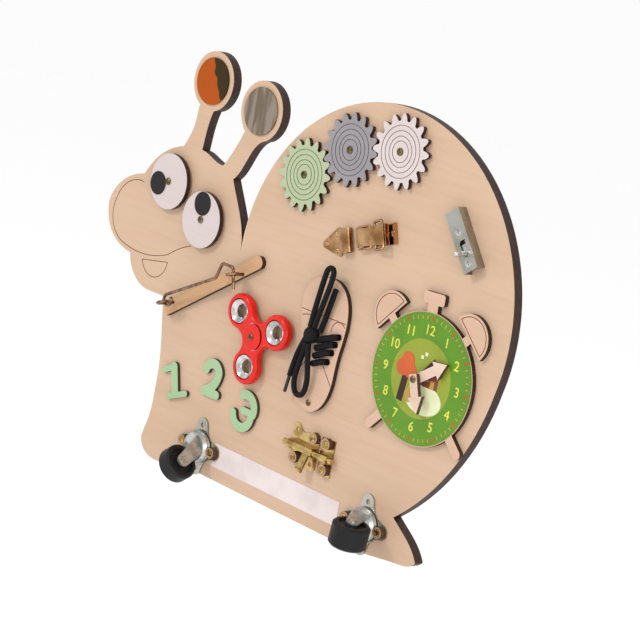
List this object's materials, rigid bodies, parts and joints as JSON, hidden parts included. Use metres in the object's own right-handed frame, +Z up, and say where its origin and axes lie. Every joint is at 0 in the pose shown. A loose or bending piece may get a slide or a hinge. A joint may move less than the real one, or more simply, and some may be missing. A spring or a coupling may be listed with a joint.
{
  "type": "busy board",
  "caption": "Snail-shaped plywood busy board with turning eyes, gears, latches, a hook, a spinner, a laced shoe, a toy clock and casters.",
  "frame": {"origin": "centre of the round shell, on the back face of the board", "axes": "+X towards the snail's tail, +Y from the front into the wall, +Z up"},
  "size_m": [0.4626, 0.052, 0.3422],
  "materials": {
    "plywood": "raw",
    "plywood_strip": "raw",
    "mirror": "polished",
    "white_paint": "painted",
    "black_paint": "matte",
    "grey_paint": "painted",
    "green_paint": "painted",
    "bronze": "plated",
    "steel": "bright",
    "galvanised": "galvanised",
    "red_plastic": "gloss",
    "lace": "woven",
    "aglet_plastic": "gloss",
    "brass": "polished",
    "print": "printed",
    "digit_paint": "painted",
    "pale_print": "satin",
    "grey_wheel": "matte"
  },
  "bodies": {
    "board_body": {"board": "plywood", "antenna_mirrors": "mirror", "catch_plate": "bronze", "latch_base": "bronze", "latch_rivets": "steel", "bolt_case": "galvanised", "bolt_case_screws": "steel", "collar_strip": "plywood_strip", "screw_eye_left": "bronze", "screw_eye_right": "bronze", "spinner_cap": "red_plastic", "bearing_inner_ring": "steel", "shoe_sole": "plywood_strip", "lace_rows": "lace", "lace_knot": "lace", "lace_top_loop": "lace", "lace_bottom_loop": "lace", "lace_short_tail": "lace", "lace_long_tail": "lace", "lace_aglet": "aglet_plastic", "barrel_plate": "brass", "barrel_keeper": "brass", "wooden_washers": "plywood_strip", "brass_screws": "brass", "clock_body": "plywood_strip", "clock_dial": "print", "digit_one": "digit_paint", "digit_two": "digit_paint", "digit_three": "digit_paint", "white_strip": "pale_print", "pivot_screws": "steel", "pivot_spacers": "galvanised", "caster_kingpins": "steel", "caster_left_plate": "galvanised", "caster_right_plate": "galvanised"},
    "eye_left_body": {"eye_left": "white_paint", "pupil_left": "black_paint"},
    "eye_right_body": {"eye_right": "white_paint", "pupil_right": "black_paint"},
    "gear_grey_body": {"gear_grey": "grey_paint"},
    "gear_green_body": {"gear_green": "green_paint"},
    "gear_white_body": {"gear_white": "white_paint"},
    "lever_body": {"latch_lever": "bronze"},
    "bail_body": {"latch_bail": "bronze"},
    "ring_body": {"latch_ring": "bronze"},
    "case_bolt_body": {"case_bolt": "steel"},
    "hook_body": {"hook": "bronze"},
    "spinner_moving": {"spinner_body": "red_plastic", "spinner_weights": "steel", "bearing_outer_ring": "steel", "bearing_balls": "steel"},
    "barrel_rod_body": {"barrel_rod": "brass"},
    "hand_long_body": {"hand_long": "plywood_strip"},
    "hand_short_body": {"hand_short": "plywood_strip"},
    "caster_left_fork_body": {"caster_left_fork": "galvanised", "caster_left_axle": "steel"},
    "caster_left_wheel_body": {"caster_left_wheel": "grey_wheel"},
    "caster_right_fork_body": {"caster_right_fork": "galvanised", "caster_right_axle": "steel"},
    "caster_right_wheel_body": {"caster_right_wheel": "grey_wheel"}
  },
  "joints": [
    {"name": "eye_left_turn", "type": "hinge", "parent": "board_body", "child": "eye_left_body", "pos_m": [-0.2388, -0.0125, 0.0339], "axis": [0, -1, 0], "continuous": true},
    {"name": "eye_right_turn", "type": "hinge", "parent": "board_body", "child": "eye_right_body", "pos_m": [-0.1913, -0.0125, 0.0128], "axis": [0, -1, 0], "continuous": true},
    {"name": "gear_grey_turn", "type": "hinge", "parent": "board_body", "child": "gear_grey_body", "pos_m": [-0.0415, -0.0105, 0.1025], "axis": [0, -1, 0], "continuous": true},
    {"name": "gear_green_turn", "type": "hinge", "parent": "board_body", "child": "gear_green_body", "pos_m": [-0.08508, -0.0105, 0.07376], "axis": [0, -1, 0], "continuous": true},
    {"name": "gear_white_turn", "type": "hinge", "parent": "board_body", "child": "gear_white_body", "pos_m": [0.00983, -0.0105, 0.11201], "axis": [0, -1, 0], "continuous": true},
    {"name": "latch_lever_swing", "type": "hinge", "parent": "board_body", "child": "lever_body", "pos_m": [-0.01067, -0.0135, 0.04213], "axis": [0.342, 0, -0.9397], "range_deg": [0, 90]},
    {"name": "latch_bail_swing", "type": "hinge", "parent": "lever_body", "child": "bail_body", "pos_m": [-0.00316, -0.0131, 0.04487], "axis": [0.342, 0, -0.9397], "range_deg": [-100, 8]},
    {"name": "latch_ring_swing", "type": "hinge", "parent": "lever_body", "child": "ring_body", "pos_m": [0.00154, -0.0131, 0.04658], "axis": [0.342, 0, -0.9397], "range_deg": [0, 80]},
    {"name": "case_bolt_slide", "type": "slide", "parent": "board_body", "child": "case_bolt_body", "axis": [-0.6101, 0, 0.7923], "range_m": [0, 0.008]},
    {"name": "hook_swing", "type": "hinge", "parent": "board_body", "child": "hook_body", "pos_m": [-0.20483, -0.0235, -0.05906], "axis": [0, -1, 0], "range_deg": [0, 100]},
    {"name": "spinner_spin", "type": "hinge", "parent": "board_body", "child": "spinner_moving", "pos_m": [-0.1032, -0.0145, -0.0607], "axis": [0, -1, 0], "continuous": true},
    {"name": "barrel_rod_slide", "type": "slide", "parent": "board_body", "child": "barrel_rod_body", "axis": [-1, 0, 0], "range_m": [0, 0.014]},
    {"name": "hand_long_turn", "type": "hinge", "parent": "board_body", "child": "hand_long_body", "pos_m": [0.0734, -0.0155, -0.0426], "axis": [0, -1, 0], "continuous": true},
    {"name": "hand_short_turn", "type": "hinge", "parent": "board_body", "child": "hand_short_body", "pos_m": [0.0734, -0.0185, -0.0426], "axis": [0, -1, 0], "continuous": true},
    {"name": "caster_left_swivel", "type": "hinge", "parent": "board_body", "child": "caster_left_fork_body", "pos_m": [-0.1502, -0.0135, -0.1662], "axis": [0, -1, 0], "continuous": true},
    {"name": "caster_left_roll", "type": "hinge", "parent": "caster_left_fork_body", "child": "caster_left_wheel_body", "pos_m": [-0.14189, -0.0375, -0.17684], "axis": [0.788, 0, 0.6157], "continuous": true},
    {"name": "caster_right_swivel", "type": "hinge", "parent": "board_body", "child": "caster_right_fork_body", "pos_m": [0.0439, -0.0135, -0.165], "axis": [0, -1, 0], "continuous": true},
    {"name": "caster_right_roll", "type": "hinge", "parent": "caster_right_fork_body", "child": "caster_right_wheel_body", "pos_m": [0.05685, -0.0375, -0.16613], "axis": [0.0872, 0, 0.9962], "continuous": true}
  ],
  "couplings": [
    {"joint": "gear_green_turn", "follows": "gear_grey_turn", "ratio": -1},
    {"joint": "gear_white_turn", "follows": "gear_grey_turn", "ratio": -1},
    {"joint": "latch_bail_swing", "follows": "latch_lever_swing", "ratio": -1}
  ]
}
